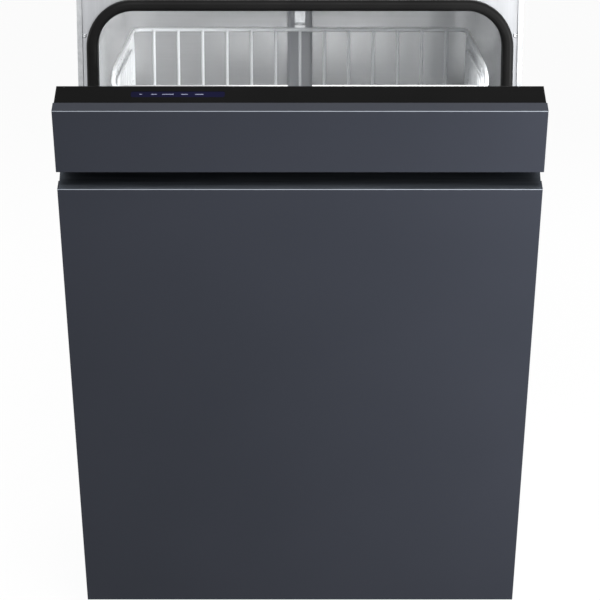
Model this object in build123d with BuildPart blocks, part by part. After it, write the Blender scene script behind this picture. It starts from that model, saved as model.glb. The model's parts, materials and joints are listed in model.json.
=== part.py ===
import os
from math import cos, radians, sin

from build123d import *

# Fully integrated dishwasher, 60 cm class, door ajar.
# The pieces are drawn with x = 0 on the centre line, y = 0 on the cabinet's front plane
# (y grows towards the rear) and z = 0 on the floor. save() moves them to the row frame.

os.makedirs("parts", exist_ok=True)

# Cabinet
cabinet_width = 598.0
cabinet_height = 866.0
cabinet_depth = 496.0
steel = 1.5
post_width = 6.8
post_depth = 42.0
frame_bottom = 125.0

# Tub and its mouth, set in from the cabinet's sides and top
mouth_side = 27.5
mouth_head = 20.0
mouth_bottom = 150.0
mouth_radius = 49.0
seal_width = 15.0
seal_proud = 14.6
seal_ease = 0.1
pocket_depth = 12.0
tub_back_y = 480.0
mat_thickness = 6.0

# Door, drawn shut and then turned about the hinge to where it stands ajar
door_angle = 22.0
hinge_y = -8.0
hinge_z = 70.0
door_side = 2.0
door_head = 10.0
door_bottom = 92.0
door_depth = 39.0
liner_plane = -15.0
bulge_depth = 35.0
bulge_side = 21.5
bulge_head = 3.0
bulge_foot = 18.0
bulge_radius = 40.0
strip_height = 45.0
hinge_pin_r = 4.0
running_fit = 0.05

# Furniture front
panel_side = 1.0
panel_length = 808.0
panel_thickness = 19.0
upper_front_height = 88.0
grip_gap = 25.0
grip_depth = 12.0
grip_slope = 20.7
panel_edge = 0.8

# Base
tray_side = 37.0
tray_front = 48.0
tray_bottom = 30.0
tray_top = 118.0
tray_wall = 3.0
panel_top = 142.0
foot_radius = 19.0
foot_side = 61.0
foot_front_y = 84.0
foot_rear_y = 452.0
window_z = 74.0
inlet_side = 109.0
drain_side = 127.0
socket_side = 85.0
window_height = 56.0

# Water circuit
well_y = 250.0
well_top_r = 135.0
well_bottom_r = 96.0
well_depth = 22.0
sump_r = 85.0
hub_pin_r = 8.0
arm_fit = 0.08
arm_thickness = 13.0
arm_reach = 190.0
arm_sweep = 10.0
lower_arm_z = 168.0
filter_offset = 50.0
filter_r = 29.0

# Baskets: home is where each stands with the door shut, follow is its travel per radian of door
wire = 2.2
rim_wire = 3.2
tine = 1.8
shaft = 2.6
journal = 8.0
tine_height = 58.0
row_pitch = 70.0
upper_home = 40.0
upper_follow = 300.0
upper_side = 24.5
upper_long = 408.0
upper_floor = 526.0
upper_wall = 246.0
upper_front_wall = 216.0
lower_home = 45.0
lower_follow = 150.0
lower_side = 25.5
lower_long = 408.0
lower_floor = 196.0
lower_wall = 176.0
wheel_r = 17.0
body_gap = 0.3
rail_z = 640.0
hairline = 0.05

# Worked out from the sizes above
mouth_half = cabinet_width / 2 - mouth_side
mouth_top = cabinet_height - mouth_head
door_width = cabinet_width - 2 * door_side
door_top = cabinet_height - door_head
bulge_half = mouth_half - bulge_side
bulge_top = mouth_top - bulge_head
bulge_bottom = mouth_bottom + bulge_foot
panel_width = cabinet_width - 2 * panel_side
tray_half = cabinet_width / 2 - tray_side
foot_x = cabinet_width / 2 - foot_side
upper_half = mouth_half - upper_side
upper_rim = upper_floor + upper_wall
upper_front_rim = upper_floor + upper_front_wall
lower_half = mouth_half - lower_side
lower_rim = lower_floor + lower_wall
shell_front = liner_plane - door_depth
panel_front = shell_front - panel_thickness
panel_bottom = door_top - panel_length
grip_top = door_top - upper_front_height
grip_bottom = grip_top - grip_gap
mouth_centre = (mouth_top + mouth_bottom) / 2
mouth_height = mouth_top - mouth_bottom
upper_out = upper_follow * radians(door_angle)
lower_out = lower_follow * radians(door_angle)
upper_y = upper_home - upper_out
lower_y = lower_home - lower_out
upper_mid_y = upper_y + upper_long / 2

# The row's origin lies on the floor, under the middle of the box that holds the ajar machine
edge_y = panel_front - hinge_y + panel_edge
edge_z = door_top - hinge_z - panel_edge
turn = radians(door_angle)
foremost = hinge_y + edge_y * cos(turn) - edge_z * sin(turn) - panel_edge
origin_y = (foremost + cabinet_depth) / 2

hinge_axis = Axis((0, hinge_y, hinge_z), (1, 0, 0))


def front(y):
    """A drawing plane parallel to the machine's front at depth y; it extrudes forwards."""
    return Plane(origin=(0, y, 0), x_dir=(1, 0, 0), z_dir=(0, -1, 0))


def save(piece, name, on_door=False):
    """Label a finished piece, move it to the row frame and write it."""
    solid = piece.part
    if on_door:
        solid = solid.rotate(hinge_axis, door_angle)
    solid = solid.moved(Location((0, -origin_y, 0)))
    solid.label = name
    export_step(solid, f"parts/{name}.step")


# Tub

# Front frame: the flange round the mouth, with a pocket for the seal
with BuildPart() as front_frame:
    with BuildSketch(front(steel)):
        with Locations((0, (cabinet_height + frame_bottom) / 2)):
            Rectangle(cabinet_width - 2 * post_width - 1, cabinet_height - frame_bottom)
        with Locations((0, mouth_centre)):
            RectangleRounded(2 * (mouth_half + seal_width), mouth_height + 2 * seal_width,
                             mouth_radius + seal_width, mode=Mode.SUBTRACT)
    extrude(amount=steel)
    with BuildSketch(front(pocket_depth)):
        with Locations((0, mouth_centre)):
            RectangleRounded(2 * (mouth_half + seal_width + steel),
                             mouth_height + 2 * (seal_width + steel), mouth_radius + seal_width + steel)
            RectangleRounded(2 * (mouth_half + seal_width), mouth_height + 2 * seal_width,
                             mouth_radius + seal_width, mode=Mode.SUBTRACT)
    extrude(amount=pocket_depth)
    with BuildSketch(front(pocket_depth + steel)):
        with Locations((0, mouth_centre)):
            RectangleRounded(2 * (mouth_half + seal_width + steel),
                             mouth_height + 2 * (seal_width + steel), mouth_radius + seal_width + steel)
            RectangleRounded(2 * mouth_half, mouth_height, mouth_radius, mode=Mode.SUBTRACT)
    extrude(amount=steel)
save(front_frame, "front_frame")

# Door seal: a fat bulb pressed into the pocket, up both sides and over the top
with BuildPart() as tub_seal:
    with BuildSketch(front(pocket_depth - 0.5)):
        with Locations((0, mouth_centre)):
            RectangleRounded(2 * (mouth_half + seal_width - seal_ease),
                             mouth_height + 2 * (seal_width - seal_ease),
                             mouth_radius + seal_width - seal_ease)
            RectangleRounded(2 * (mouth_half + seal_ease), mouth_height + 2 * seal_ease,
                             mouth_radius + seal_ease, mode=Mode.SUBTRACT)
        with Locations((0, mouth_bottom)):
            Rectangle(2 * cabinet_width, 2 * seal_width + 8, mode=Mode.SUBTRACT)
    extrude(amount=pocket_depth + seal_proud - 1)
    bulb = tub_seal.faces().sort_by(Axis.Y)[0]
    fillet(bulb.edges(), seal_width * 0.4)
save(tub_seal, "tub_seal")

tub_front_y = pocket_depth + steel
floor_half = mouth_half - mouth_radius

# Tub wrap: the one sheet that makes both sides, the ceiling and the rounded lower corners
with BuildPart() as tub_wrap:
    with BuildSketch(front(tub_back_y)):
        with Locations((0, mouth_centre)):
            RectangleRounded(2 * (mouth_half + steel), mouth_height + 2 * steel, mouth_radius + steel)
            RectangleRounded(2 * mouth_half, mouth_height, mouth_radius, mode=Mode.SUBTRACT)
        with Locations((0, mouth_bottom)):
            Rectangle(2 * floor_half, 4 * steel, mode=Mode.SUBTRACT)
    extrude(amount=tub_back_y - tub_front_y)
save(tub_wrap, "tub_wrap")

# Tub back: a plate with stiffening beads stamped into it
bead_up = 120.0
bead_pitch = 190.0
bead_side = 71.5
with BuildPart() as tub_back:
    with BuildSketch(front(tub_back_y + steel)):
        with Locations((0, mouth_centre)):
            RectangleRounded(2 * (mouth_half + steel), mouth_height + 2 * steel, mouth_radius + steel)
    extrude(amount=steel)
    with BuildSketch(front(tub_back_y)):
        for bead in range(3):
            with Locations((0, mouth_bottom + bead_up + bead * bead_pitch)):
                SlotOverall(2 * (mouth_half - bead_side), 26)
    extrude(amount=2.5, taper=30)
save(tub_back, "tub_back")

# Tub floor with the dished well over the sump
well_base = mouth_bottom - well_depth
with BuildPart() as tub_floor:
    with BuildSketch(Plane.XY.offset(mouth_bottom - steel)):
        with Locations((0, (tub_front_y + tub_back_y) / 2)):
            Rectangle(2 * floor_half, tub_back_y - tub_front_y)
        with Locations((0, well_y)):
            Circle(well_top_r, mode=Mode.SUBTRACT)
    extrude(amount=steel)
    with BuildSketch(Plane.XZ.offset(-well_y)):
        with BuildLine():
            Polyline((sump_r, well_base - steel), (sump_r, well_base), (well_bottom_r, well_base),
                     (well_top_r, mouth_bottom), (well_top_r + steel, mouth_bottom),
                     (well_top_r + steel, mouth_bottom - steel), (well_bottom_r + 1, well_base - steel),
                     close=True)
        make_face()
    revolve(axis=Axis((0, well_y, 0), (0, 0, 1)))
save(tub_floor, "tub_floor")

# Insulating mat: heavy felt over the tub's sides and top
mat_in = mouth_half + steel + body_gap
mat_front = 66.0
mat_back = tub_back_y - 10
mat_foot = mouth_bottom + mouth_radius + 21
with BuildPart() as insulation_mat:
    with BuildSketch(front(mat_back)):
        with Locations((0, mouth_centre)):
            RectangleRounded(2 * (mat_in + mat_thickness), mouth_height + 2 * (steel + mat_thickness),
                             mouth_radius + mat_thickness + steel)
            RectangleRounded(2 * mat_in, mouth_height + 2 * (steel + body_gap), mouth_radius + steel,
                             mode=Mode.SUBTRACT)
        with Locations((0, mouth_bottom)):
            Rectangle(2 * cabinet_width, 2 * (mat_foot - mouth_bottom), mode=Mode.SUBTRACT)
    extrude(amount=mat_back - mat_front)
save(insulation_mat, "insulation_mat")

# Side frames: folded posts at the front corners, their front edge is the trim beside the mouth
post_in = cabinet_width / 2 - post_width
post_y = post_depth / 2 - 3
flange = 16.0
with BuildPart() as side_frames:
    for side in (-1, 1):
        with BuildSketch(Plane.XY.offset(tray_bottom)):
            with Locations((side * (post_in + post_width / 2), post_y)):
                Rectangle(post_width, post_depth)
            with Locations((side * (post_in + post_width / 2 - steel), post_y + steel)):
                Rectangle(post_width, post_depth, mode=Mode.SUBTRACT)
        extrude(amount=cabinet_height - tray_bottom)
        with BuildSketch(Plane.XY.offset(panel_top)):
            with Locations((side * (post_in + (post_width - flange) / 2), post_y + (post_depth - steel) / 2)):
                Rectangle(post_width + flange, steel)
        extrude(amount=cabinet_height - panel_top)
save(side_frames, "side_frames")

# Top crossbar: a folded channel behind the mouth, drilled for the worktop screws
bar_front = 16.0
bar_depth = 46.0
bar_drop = 9.0
bar_half = post_in - 17.5
bar_hole_side = 69.0
bar_hole_x = cabinet_width / 2 - bar_hole_side
bar_hole_r = 2.75
with BuildPart() as top_crossbar:
    with BuildSketch(Plane.XY.offset(cabinet_height - bar_drop)):
        with Locations((0, bar_front + bar_depth / 2)):
            Rectangle(2 * bar_half, bar_depth)
    extrude(amount=bar_drop)
    with BuildSketch(Plane.XY.offset(cabinet_height - bar_drop)):
        with Locations((0, bar_front + bar_depth / 2)):
            Rectangle(2 * bar_half + 1, bar_depth - 2 * steel)
    extrude(amount=bar_drop - steel, mode=Mode.SUBTRACT)
    with Locations((bar_hole_x, bar_front + bar_depth / 2, cabinet_height),
                   (-bar_hole_x, bar_front + bar_depth / 2, cabinet_height)):
        Hole(bar_hole_r, depth=2 * steel)
save(top_crossbar, "top_crossbar")

# Rear frame: a flat ring of folded steel behind the tub, low at the foot to clear the hose ports
rear_width = 24.0
rear_head = 48.0
rear_top = cabinet_height - 6
rear_foot = window_z - window_height / 2
with BuildPart() as rear_frame:
    with BuildSketch(front(cabinet_depth)):
        with Locations((0, (rear_top + tray_bottom) / 2)):
            Rectangle(cabinet_width, rear_top - tray_bottom)
        with Locations((0, (rear_top - rear_head + rear_foot) / 2)):
            Rectangle(cabinet_width - 2 * rear_width, rear_top - rear_head - rear_foot, mode=Mode.SUBTRACT)
    extrude(amount=steel)
    with BuildSketch(Plane.XY.offset(tray_bottom)):
        with Locations((-cabinet_width / 2 + steel / 2, cabinet_depth - rear_width / 2),
                       (cabinet_width / 2 - steel / 2, cabinet_depth - rear_width / 2)):
            Rectangle(steel, rear_width)
    extrude(amount=rear_top - tray_bottom)
save(rear_frame, "rear_frame")

# Base

# Base tray: an open plastic tub that carries the pumps, with a square boss over each foot
stem_r = 6.0
stem_fit = 0.08
boss_height = 46.0
window_width = 90.0
inlet_x = cabinet_width / 2 - inlet_side
drain_x = drain_side - cabinet_width / 2
socket_x = socket_side - cabinet_width / 2
with BuildPart() as base_tray:
    with BuildSketch(Plane.XY.offset(tray_bottom)):
        with Locations((0, (tray_front + cabinet_depth - 4) / 2)):
            Rectangle(2 * tray_half, cabinet_depth - 4 - tray_front)
    extrude(amount=tray_top - tray_bottom)
    fillet(base_tray.edges().filter_by(Axis.Z), 12)
    offset(amount=-tray_wall, openings=base_tray.faces().sort_by(Axis.Z)[-1])
    with BuildSketch(Plane.XY.offset(tray_bottom)):
        with Locations((foot_x, foot_front_y), (-foot_x, foot_front_y),
                       (foot_x, foot_rear_y), (-foot_x, foot_rear_y)):
            Rectangle(2 * foot_radius - 4, 2 * foot_radius - 4)
            Circle(stem_r + stem_fit, mode=Mode.SUBTRACT)
    extrude(amount=boss_height)
    with BuildSketch(Plane.XY.offset(tray_bottom)):
        with Locations((foot_x, foot_front_y), (-foot_x, foot_front_y),
                       (foot_x, foot_rear_y), (-foot_x, foot_rear_y)):
            Circle(stem_r + stem_fit)
    extrude(amount=tray_wall, mode=Mode.SUBTRACT)
    with BuildSketch(front(cabinet_depth)):
        with Locations((-inlet_x, window_z), (inlet_x, window_z)):
            Rectangle(window_width, window_height)
    extrude(amount=12, mode=Mode.SUBTRACT)
save(base_tray, "base_tray")

# Feet: a threaded stem in the tray's boss over a wide sole
sole = 7.0
for foot, foot_y in (("feet_front", foot_front_y), ("feet_rear", foot_rear_y)):
    with BuildPart() as stand:
        for low, high, size, sides in ((0, sole, foot_radius, 12), (sole, tray_bottom, foot_radius - 5, 6)):
            with BuildSketch(Plane.XY.offset(low)):
                with Locations((-foot_x, foot_y), (foot_x, foot_y)):
                    RegularPolygon(size, sides)
            extrude(amount=high - low)
        with BuildSketch(Plane.XY.offset(tray_bottom)):
            with Locations((-foot_x, foot_y), (foot_x, foot_y)):
                Circle(stem_r)
        extrude(amount=boss_height - 4)
    save(stand, foot)

# Plinth panel between the feet and the door, with a row of air slots
plinth_low = 20.0
plinth_high = 112.0
with BuildPart() as plinth_panel:
    with BuildSketch(front(tray_front - 2)):
        with Locations((0, (plinth_low + plinth_high) / 2)):
            Rectangle(2 * tray_half, plinth_high - plinth_low)
        with Locations((0, plinth_low + 14)):
            with GridLocations(60, 0, 7, 1):
                Rectangle(40, 5, mode=Mode.SUBTRACT)
    extrude(amount=4)
save(plinth_panel, "plinth_panel")

# Base side panels cover the door springs
side_long = cabinet_depth - post_depth - 22
side_mid_y = (post_depth + cabinet_depth - 22) / 2 - 1
side_x = cabinet_width / 2 - 2 * steel
with BuildPart() as side_panels:
    for side in (-1, 1):
        with BuildSketch(Plane.YZ.offset(side * side_x - steel / 2)):
            with Locations((side_mid_y, (tray_bottom + panel_top) / 2)):
                Rectangle(side_long, panel_top - tray_bottom)
        extrude(amount=steel)
        with BuildSketch(Plane.XY.offset(panel_top - steel)):
            with Locations((side * (side_x - 7), side_mid_y)):
                Rectangle(14, side_long)
        extrude(amount=steel)
save(side_panels, "side_panels")

# Sump: a moulded bowl with the hub pin of the lower spray arm
hub_top = lower_arm_z + arm_thickness + 6
hub_foot_r = 15.0
sump_low = 58.0
sump_wall = 3.7
sump_outer = sump_r - body_gap
with BuildPart() as sump:
    with BuildSketch(Plane.XZ) as sump_half:
        with BuildLine():
            Polyline((0, sump_low), (54, sump_low), (sump_outer, sump_low + 34), (sump_outer, well_base + 2),
                     (sump_outer - sump_wall, well_base + 2), (sump_outer - sump_wall, sump_low + 36),
                     (52, sump_low + sump_wall), (hub_foot_r, sump_low + sump_wall),
                     (hub_foot_r, lower_arm_z - 0.5), (hub_pin_r, lower_arm_z - 0.5), (hub_pin_r, hub_top),
                     (0, hub_top), close=True)
        make_face()
    revolve(axis=Axis.Z)
sump.part = sump.part.moved(Location((0, well_y, 0)))
save(sump, "sump")

# Fine filter: a disc over the sump, slotted, with holes for the hub and the filter cylinder
disc_z = well_base + 2.2
with BuildPart() as fine_filter:
    with BuildSketch(Plane.XY.offset(disc_z)):
        with Locations((0, well_y)):
            Circle(well_bottom_r - 0.5)
            Circle(hub_foot_r + 1, mode=Mode.SUBTRACT)
        with Locations((0, well_y - filter_offset)):
            Circle(filter_r + 0.3, mode=Mode.SUBTRACT)
        with Locations((0, well_y + 8)):
            with PolarLocations(56, 7, start_angle=-10, angular_range=200):
                Rectangle(40, 7, mode=Mode.SUBTRACT)
    extrude(amount=2)
save(fine_filter, "fine_filter")

# Filter cylinder: a basket with windows and a grip, which twists out
filter_low = 92.0
with BuildPart() as filter_cylinder:
    with BuildSketch(Plane.XY.offset(filter_low)):
        with Locations((0, well_y - filter_offset)):
            Circle(filter_r - 1)
            Circle(filter_r - 3.5, mode=Mode.SUBTRACT)
    extrude(amount=disc_z - filter_low)
    with BuildSketch(Plane.XY.offset(disc_z)):
        with Locations((0, well_y - filter_offset)):
            Circle(filter_r)
            Circle(filter_r - 5, mode=Mode.SUBTRACT)
    extrude(amount=5)
    with BuildSketch(Plane.XY.offset(disc_z + 5)):
        with Locations((0, well_y - filter_offset)):
            Rectangle(2 * filter_r - 4, 5)
    extrude(amount=12)
    with BuildSketch(Plane.XZ.offset(-(well_y - filter_offset))):
        with Locations((0, filter_low + 18)):
            Rectangle(3 * filter_r, 22)
    extrude(amount=9, both=True, mode=Mode.SUBTRACT)
save(filter_cylinder, "filter_cylinder")

# Circulation pump: a motor and volute with the flow heater's tube, lying behind the sump
pump_y = 400.0
pump_z = 84.0
with BuildPart() as circulation_pump:
    for low_x, high_x, round_r in ((-150, -55, 42), (-55, -21, 46), (-21, 75, 30)):
        with BuildSketch(Plane.YZ.offset(low_x)):
            with Locations((pump_y, pump_z)):
                Circle(round_r)
        extrude(amount=high_x - low_x)
    with BuildSketch(front(pump_y)):
        with Locations((-38, pump_z)):
            Circle(15)
    extrude(amount=pump_y - well_y - sump_r - 5)
save(circulation_pump, "circulation_pump")

# Drain pump: a small motor on the sump's front side
with BuildPart() as drain_pump:
    with BuildSketch(Plane.YZ.offset(sump_r + 8)):
        with Locations((well_y - 60, 72)):
            Circle(26)
    extrude(amount=58)
    with BuildSketch(Plane.YZ.offset(sump_r - 18)):
        with Locations((well_y - 60, 72)):
            Circle(12)
    extrude(amount=26)
save(drain_pump, "drain_pump")

# Water softener: a moulded salt tank under the tub floor with its neck through the floor
salt_x = -165.0
salt_y = 130.0
cap_r = 34.0
with BuildPart() as water_softener:
    with BuildSketch(Plane.XY.offset(40)):
        with Locations((salt_x + 8, salt_y + 15)):
            RectangleRounded(118, 120, 16)
    extrude(amount=78)
    with BuildSketch(Plane.XY.offset(118)):
        with Locations((salt_x, salt_y)):
            Circle(cap_r - 5)
    extrude(amount=mouth_bottom - steel - body_gap - 118)
save(water_softener, "water_softener")

# Salt cap on the tub floor
with BuildPart() as salt_cap:
    with BuildSketch(Plane.XY.offset(mouth_bottom + body_gap)):
        with Locations((salt_x, salt_y)):
            Circle(cap_r)
    extrude(amount=6)
    chamfer(salt_cap.faces().sort_by(Axis.Z)[-1].edges(), 2)
    with BuildSketch(Plane.XY.offset(mouth_bottom + body_gap + 6)):
        with Locations((salt_x, salt_y)):
            SlotOverall(2 * cap_r - 16, 9)
    extrude(amount=7)
save(salt_cap, "salt_cap")

# Water riser: a flat duct up the tub's back wall, then a pipe along the ceiling to a shower head
riser_half = 19.0
riser_depth = 15.0
riser_back = tub_back_y - 3
riser_front = riser_back - riser_depth
dock_z = upper_floor - 15
head_r = 34.0
with BuildPart() as water_riser:
    with BuildSketch(Plane.XY.offset(mouth_bottom + body_gap)):
        with Locations((0, riser_back - riser_depth / 2)):
            RectangleRounded(2 * riser_half, riser_depth, 6)
    extrude(amount=mouth_top - 4 - mouth_bottom)
    with BuildSketch(front(riser_front + 1)):
        with Locations((0, dock_z)):
            Circle(11)
    extrude(amount=5)
    with BuildSketch(Plane.XY.offset(mouth_top - 12)):
        with Locations((0, (well_y + riser_front) / 2 + 2)):
            Rectangle(22, riser_front - well_y + 4)
        with Locations((0, well_y)):
            Circle(head_r)
    extrude(amount=12 - body_gap)
    with BuildSketch(Plane.XY.offset(mouth_top - 18)):
        with Locations((0, well_y)):
            Circle(head_r - 5)
            with PolarLocations(head_r - 13, 3):
                Rectangle(3, 12, mode=Mode.SUBTRACT)
    extrude(amount=6.1)
save(water_riser, "water_riser")

# Rear connections in the tray's two rear windows
thread_r = 13.2
hose_r = 9.5
valve_width = 60.0
valve_height = 44.0
with BuildPart() as inlet_valve:
    with BuildSketch(front(cabinet_depth - 24)):
        with Locations((inlet_x, window_z)):
            RectangleRounded(valve_width, valve_height, 5)
    extrude(amount=26)
    with BuildSketch(front(cabinet_depth - 2)):
        with Locations((inlet_x, window_z)):
            Circle(thread_r)
            Circle(thread_r - 3.5, mode=Mode.SUBTRACT)
    extrude(amount=22)
save(inlet_valve, "inlet_valve")

with BuildPart() as drain_connector:
    with BuildSketch(front(cabinet_depth - 22)):
        with Locations((drain_x, window_z)):
            RectangleRounded(34, 40, 5)
    extrude(amount=8)
    with BuildSketch(front(cabinet_depth - 2)):
        with Locations((drain_x, window_z)):
            Circle(hose_r)
            Circle(hose_r - 2.5, mode=Mode.SUBTRACT)
    extrude(amount=20)
save(drain_connector, "drain_connector")

# Appliance inlet: the recessed socket for a mains lead
with BuildPart() as mains_inlet:
    with BuildSketch(front(cabinet_depth - 5)):
        with Locations((socket_x, window_z)):
            RectangleRounded(32, 26, 4)
    extrude(amount=22)
    with BuildSketch(front(cabinet_depth - 5)):
        with Locations((socket_x, window_z)):
            RectangleRounded(25, 17, 3)
    extrude(amount=16, mode=Mode.SUBTRACT)
    with BuildSketch(front(cabinet_depth - 21)):
        with Locations((socket_x - 7, window_z), (socket_x, window_z + 2), (socket_x + 7, window_z)):
            Rectangle(2, 5)
    extrude(amount=-10)
save(mains_inlet, "mains_inlet")

# Hinges

bracket_side = 31.0
arm_gap = 2.0
arm_plate = 4.0
bracket_x = cabinet_width / 2 - bracket_side
arm_x = bracket_x + arm_gap + arm_plate
bracket_back = 86.0
boss_r = 13.0
hook_y = 10.0
hook_z = 115.0
with BuildPart() as hinge_brackets:
    for side in (-1, 1):
        with BuildSketch(Plane.YZ.offset(side * bracket_x - arm_plate / 2)):
            with BuildLine():
                Polyline((hinge_y, hinge_z + boss_r), (40, tray_top - 6), (bracket_back, tray_top - 6),
                         (bracket_back, tray_bottom + 10), (40, tray_bottom + 10),
                         (hinge_y, hinge_z - boss_r), close=True)
            make_face()
            with Locations((hinge_y, hinge_z)):
                Circle(boss_r)
        extrude(amount=arm_plate)
        with BuildSketch(Plane.YZ.offset(side * (bracket_x + 8) - 6)):
            with Locations((hinge_y, hinge_z)):
                Circle(hinge_pin_r)
        extrude(amount=12)
save(hinge_brackets, "hinge_brackets")

# Hinge arms: levers on the door, each with a bore on the pin and a hook for its spring
arm_front = liner_plane - 30
arm_back = liner_plane - 8
arm_top = 300.0
with BuildPart() as hinge_arms:
    for side in (-1, 1):
        with BuildSketch(Plane.YZ.offset(side * (arm_x + arm_plate / 2) - arm_plate / 2)):
            with BuildLine():
                Polyline((hinge_y - boss_r, hinge_z), (arm_front, hinge_z + 50), (arm_front, arm_top),
                         (arm_back, arm_top), (arm_back, hinge_z + 62), (hook_y - 4, hook_z + 4),
                         (hook_y + 6, hook_z + 2), (hook_y + 6, hook_z - 6), (hinge_y + boss_r, hinge_z),
                         close=True)
            make_face()
            with Locations((hinge_y, hinge_z)):
                Circle(boss_r)
                Circle(hinge_pin_r + running_fit, mode=Mode.SUBTRACT)
        extrude(amount=arm_plate)
        with BuildSketch(Plane.YZ.offset(side * (arm_x + arm_plate + 4) - 4)):
            with Locations((hook_y, hook_z - 1)):
                RegularPolygon(2.5, 8)
        extrude(amount=8)
save(hinge_arms, "hinge_arms", on_door=True)

# Door springs: each a closed coil drawn as its outer tube, between two hook rods
hook_rest_y = hinge_y + (hook_y - hinge_y) * cos(turn) - (hook_z - 1 - hinge_z) * sin(turn)
hook_rest_z = hinge_z + (hook_y - hinge_y) * sin(turn) + (hook_z - 1 - hinge_z) * cos(turn)
spring_x = arm_x + arm_plate + 7
spring_end = 280.0
with BuildPart() as door_springs:
    for side in (-1, 1):
        with BuildSketch(front(hook_rest_y + spring_end)):
            with Locations((side * spring_x, hook_rest_z)):
                RegularPolygon(1.2, 6)
        extrude(amount=spring_end - 2.8)
        with BuildSketch(front(hook_rest_y + spring_end - 40)):
            with Locations((side * spring_x, hook_rest_z)):
                RegularPolygon(6, 12)
        extrude(amount=spring_end - 90)
save(door_springs, "door_springs")

# Door body

# Outer shell: a folded pan behind the furniture front, with a recess for the grip profile
recess_top = grip_top + 36
recess_bottom = grip_bottom - 2
strip_bottom = door_top - strip_height
with BuildPart() as door_shell:
    with BuildSketch(Plane.YZ) as shell_outline:
        with BuildLine():
            Polyline((shell_front, door_bottom), (shell_front, recess_bottom),
                     (shell_front + grip_depth + 2, recess_bottom), (shell_front + grip_depth + 2, recess_top),
                     (shell_front, recess_top), (shell_front, strip_bottom - body_gap),
                     (liner_plane - steel - body_gap, strip_bottom - body_gap),
                     (liner_plane - steel - body_gap, door_bottom), close=True)
        make_face()
    extrude(amount=door_width / 2, both=True)
    with BuildSketch(Plane.YZ) as shell_hollow:
        with BuildLine():
            Polyline((shell_front + steel, door_bottom - 1), (shell_front + steel, recess_bottom - steel),
                     (shell_front + grip_depth + 2 + steel, recess_bottom - steel),
                     (shell_front + grip_depth + 2 + steel, recess_top + steel),
                     (shell_front + steel, recess_top + steel), (shell_front + steel, door_top),
                     (liner_plane + 1, door_top), (liner_plane + 1, door_bottom - 1), close=True)
        make_face()
    extrude(amount=door_width / 2 - steel, both=True, mode=Mode.SUBTRACT)
save(door_shell, "door_shell", on_door=True)

# Liner: one pressed stainless sheet, its middle bulging into the tub's mouth
latch_half = 15.0
latch_drop = 20.0
dispenser_z = 470.0
dispenser_w = 176.0
dispenser_h = 122.0
arm_notch = 55.0
bulge_y = liner_plane + bulge_depth
bulge_centre = (bulge_top + bulge_bottom) / 2
bulge_height = bulge_top - bulge_bottom
with BuildPart() as door_liner:
    with BuildSketch(front(liner_plane)):
        with Locations((0, (strip_bottom + door_bottom) / 2)):
            Rectangle(door_width, strip_bottom - door_bottom)
    extrude(amount=steel)
    with BuildSketch(front(liner_plane)):
        with Locations((0, bulge_centre)):
            RectangleRounded(2 * bulge_half, bulge_height, bulge_radius)
    extrude(amount=-bulge_depth, taper=12)
    with BuildSketch(front(liner_plane - steel)):
        with Locations((0, bulge_centre)):
            RectangleRounded(2 * (bulge_half - steel), bulge_height - 2 * steel, bulge_radius - steel)
    extrude(amount=-bulge_depth, taper=12, mode=Mode.SUBTRACT)
    with BuildSketch(front(bulge_y + 1)):
        with Locations((0, bulge_top - latch_drop / 2 + 2)):
            Rectangle(2 * latch_half, latch_drop + 4)
    extrude(amount=bulge_depth + 8, mode=Mode.SUBTRACT)
    with BuildSketch(front(bulge_y + 1)):
        with Locations((0, dispenser_z)):
            RectangleRounded(dispenser_w, dispenser_h, 12)
    extrude(amount=10, mode=Mode.SUBTRACT)
    with BuildSketch(front(liner_plane + 1)):
        with Locations((-door_width / 2, door_bottom), (door_width / 2, door_bottom)):
            Rectangle(2 * (door_width / 2 - arm_x + 2), 2 * arm_notch)
    extrude(amount=3 * steel, mode=Mode.SUBTRACT)
save(door_liner, "door_liner", on_door=True)

# Control strip: the glossy top of the door, a hollow moulding with a window slot
window_x = -148.0
window_w = 114.0
window_d = 13.0
strip_mid_y = (liner_plane + shell_front) / 2
with BuildPart() as control_strip:
    with BuildSketch(Plane.XY.offset(strip_bottom)):
        with Locations((0, strip_mid_y)):
            Rectangle(door_width, door_depth)
    extrude(amount=strip_height)
    top_edges = control_strip.faces().sort_by(Axis.Z)[-1].edges()
    fillet(top_edges, 1.2)
    with BuildSketch(Plane.XY.offset(strip_bottom)):
        with Locations((0, strip_mid_y)):
            Rectangle(door_width - 6, door_depth - 5)
    extrude(amount=strip_height - 3, mode=Mode.SUBTRACT)
    with BuildSketch(Plane.XY.offset(door_top)):
        with Locations((window_x, strip_mid_y)):
            RectangleRounded(window_w, window_d, 3)
    extrude(amount=-6, mode=Mode.SUBTRACT)
    with BuildSketch(front(liner_plane + 1)):
        with Locations((0, strip_bottom + 9)):
            Rectangle(2 * latch_half, 34)
    extrude(amount=6, mode=Mode.SUBTRACT)
save(control_strip, "control_strip", on_door=True)

# Display window, flush in the strip
with BuildPart() as display_window:
    with BuildSketch(Plane.XY.offset(door_top - 2.8)):
        with Locations((window_x, strip_mid_y)):
            RectangleRounded(window_w - 0.2, window_d - 0.2, 2.9)
    extrude(amount=2.6)
save(display_window, "display_window", on_door=True)

# Control board under the strip, with its display and key pads
board_z = door_top - 14
with BuildPart() as control_board:
    with BuildSketch(Plane.XY.offset(board_z)):
        with Locations((-90, strip_mid_y)):
            Rectangle(330, 30)
    extrude(amount=1.6)
    with BuildSketch(Plane.XY.offset(board_z + 1.6)):
        with Locations((window_x, strip_mid_y)):
            Rectangle(window_w - 8, 11)
        with Locations((-60, strip_mid_y), (-30, strip_mid_y), (0, strip_mid_y), (30, strip_mid_y)):
            Rectangle(12, 12)
    extrude(amount=7)
save(control_board, "control_board", on_door=True)

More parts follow.
